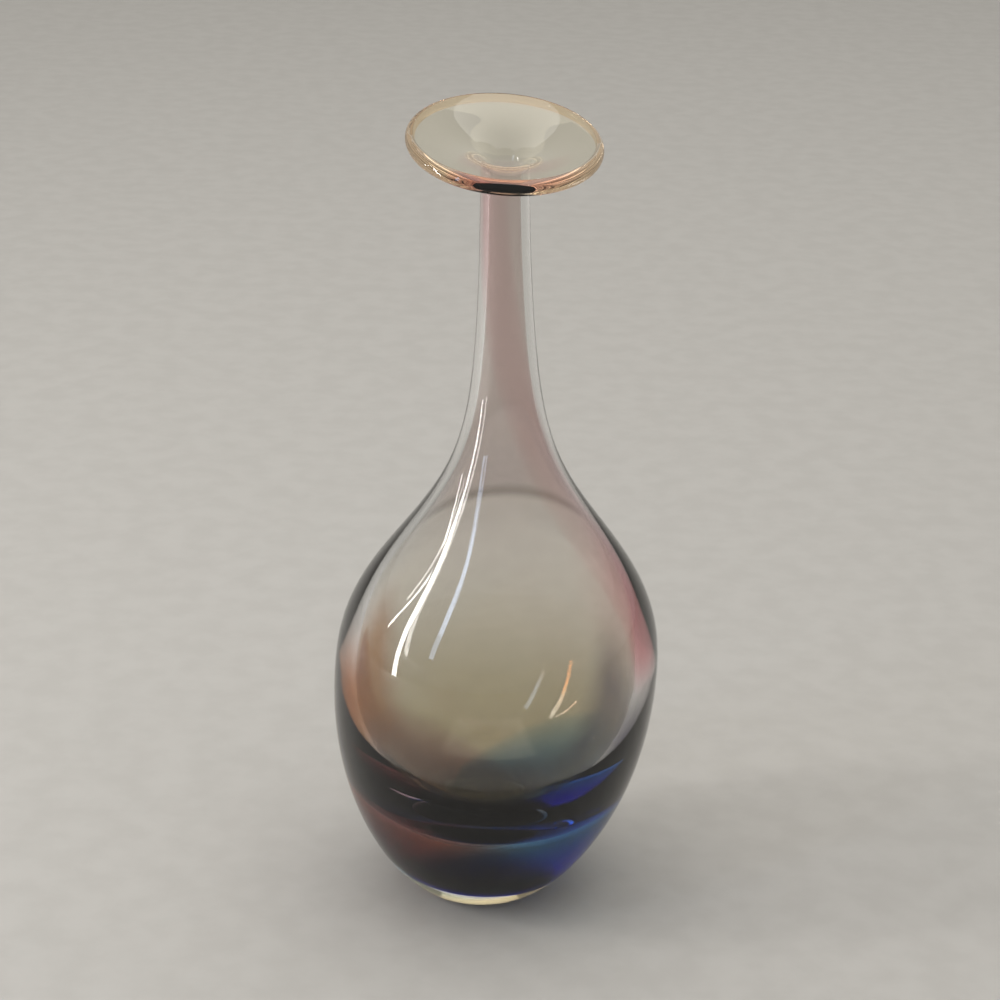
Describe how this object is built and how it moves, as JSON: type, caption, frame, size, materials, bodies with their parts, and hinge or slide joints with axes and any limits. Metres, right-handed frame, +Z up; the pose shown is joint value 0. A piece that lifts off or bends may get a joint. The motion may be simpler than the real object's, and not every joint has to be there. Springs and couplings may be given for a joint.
{
  "type": "bottle vase",
  "caption": "Hand blown bottle vase: egg-shaped body of thick cased glass with colour trails, a long slim neck and a tilted dish lip.",
  "frame": {"origin": "on the resting plane, under the middle of the belly; the foot stands a few millimetres to -X of it, because the free blown body leans", "axes": "+Z up through the neck, -Y towards the front, where the lip dips, +X to the right"},
  "size_m": [0.1271, 0.127, 0.3155],
  "materials": {
    "clear_crystal": "fire polished clear glass, satin where the foot is ground",
    "straw_glass": "clear glass with a pale straw tint",
    "cobalt_glass": "deep cobalt blue transparent glass",
    "plum_glass": "plum brown transparent glass",
    "amber_glass": "amber to rust transparent glass",
    "rose_glass": "dusty rose transparent glass",
    "amber_thread": "amber transparent glass, fire polished"
  },
  "bodies": {
    "root": {"clear_casing": "clear_crystal", "inner_bubble": "straw_glass", "straw_gather": "straw_glass", "cobalt_gather": "cobalt_glass", "plum_gather": "plum_glass", "amber_trail": "amber_glass", "rose_trail": "rose_glass", "lip_thread": "amber_thread"}
  },
  "joints": []
}
